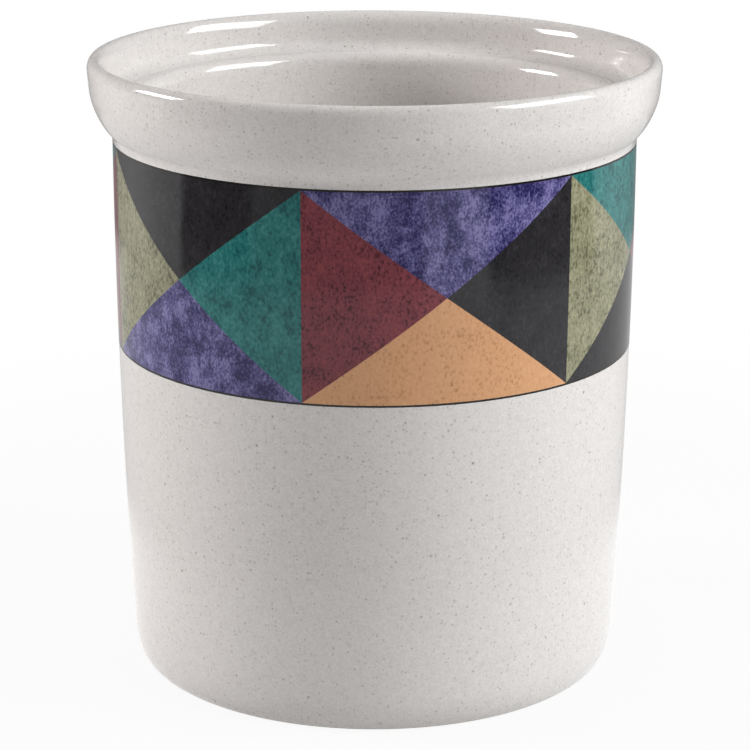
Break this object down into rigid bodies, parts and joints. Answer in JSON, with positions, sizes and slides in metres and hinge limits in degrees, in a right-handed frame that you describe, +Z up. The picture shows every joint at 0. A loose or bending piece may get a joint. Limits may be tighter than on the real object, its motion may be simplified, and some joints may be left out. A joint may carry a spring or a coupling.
{
  "type": "kitchen canister",
  "caption": "Round stoneware food canister, open at the top, with a flared collar that holds a seat for a lid and a printed band of coloured lozenges and triangles.",
  "frame": {"origin": "centre of the circle on which the foot stands, on the table", "axes": "+Z up along the axis of the turned body, -Y towards the front of the picture's view"},
  "size_m": [0.1734, 0.1734, 0.1894],
  "materials": {
    "speckled_glaze": "glossy off-white glaze with fine grey-brown specks",
    "line_black": "glossy black printed line, fired on",
    "charcoal": "glossy mottled charcoal print, fired on",
    "sage": "glossy mottled sage print, fired on",
    "teal": "glossy mottled teal print, fired on",
    "burgundy": "glossy mottled burgundy print, fired on",
    "violet": "glossy mottled violet print, fired on",
    "peach": "glossy mottled peach print, fired on"
  },
  "bodies": {
    "root": {"canister_body": "speckled_glaze", "upper_border_line": "line_black", "lower_border_line": "line_black", "lozenge_1_left_teal": "teal", "lozenge_1_right_burgundy": "burgundy", "lozenge_2_left_charcoal": "charcoal", "lozenge_2_right_sage": "sage", "lozenge_3_left_burgundy": "burgundy", "lozenge_3_right_sage": "sage", "lozenge_4_left_teal": "teal", "lozenge_4_right_burgundy": "burgundy", "lozenge_5_left_charcoal": "charcoal", "lozenge_5_right_sage": "sage", "lozenge_6_left_burgundy": "burgundy", "lozenge_6_right_sage": "sage", "upper_triangle_1_violet": "violet", "upper_triangle_2_teal": "teal", "upper_triangle_3_charcoal": "charcoal", "upper_triangle_4_violet": "violet", "upper_triangle_5_teal": "teal", "upper_triangle_6_charcoal": "charcoal", "lower_triangle_1_peach": "peach", "lower_triangle_2_charcoal": "charcoal", "lower_triangle_3_violet": "violet", "lower_triangle_4_peach": "peach", "lower_triangle_5_charcoal": "charcoal", "lower_triangle_6_violet": "violet"}
  },
  "joints": []
}
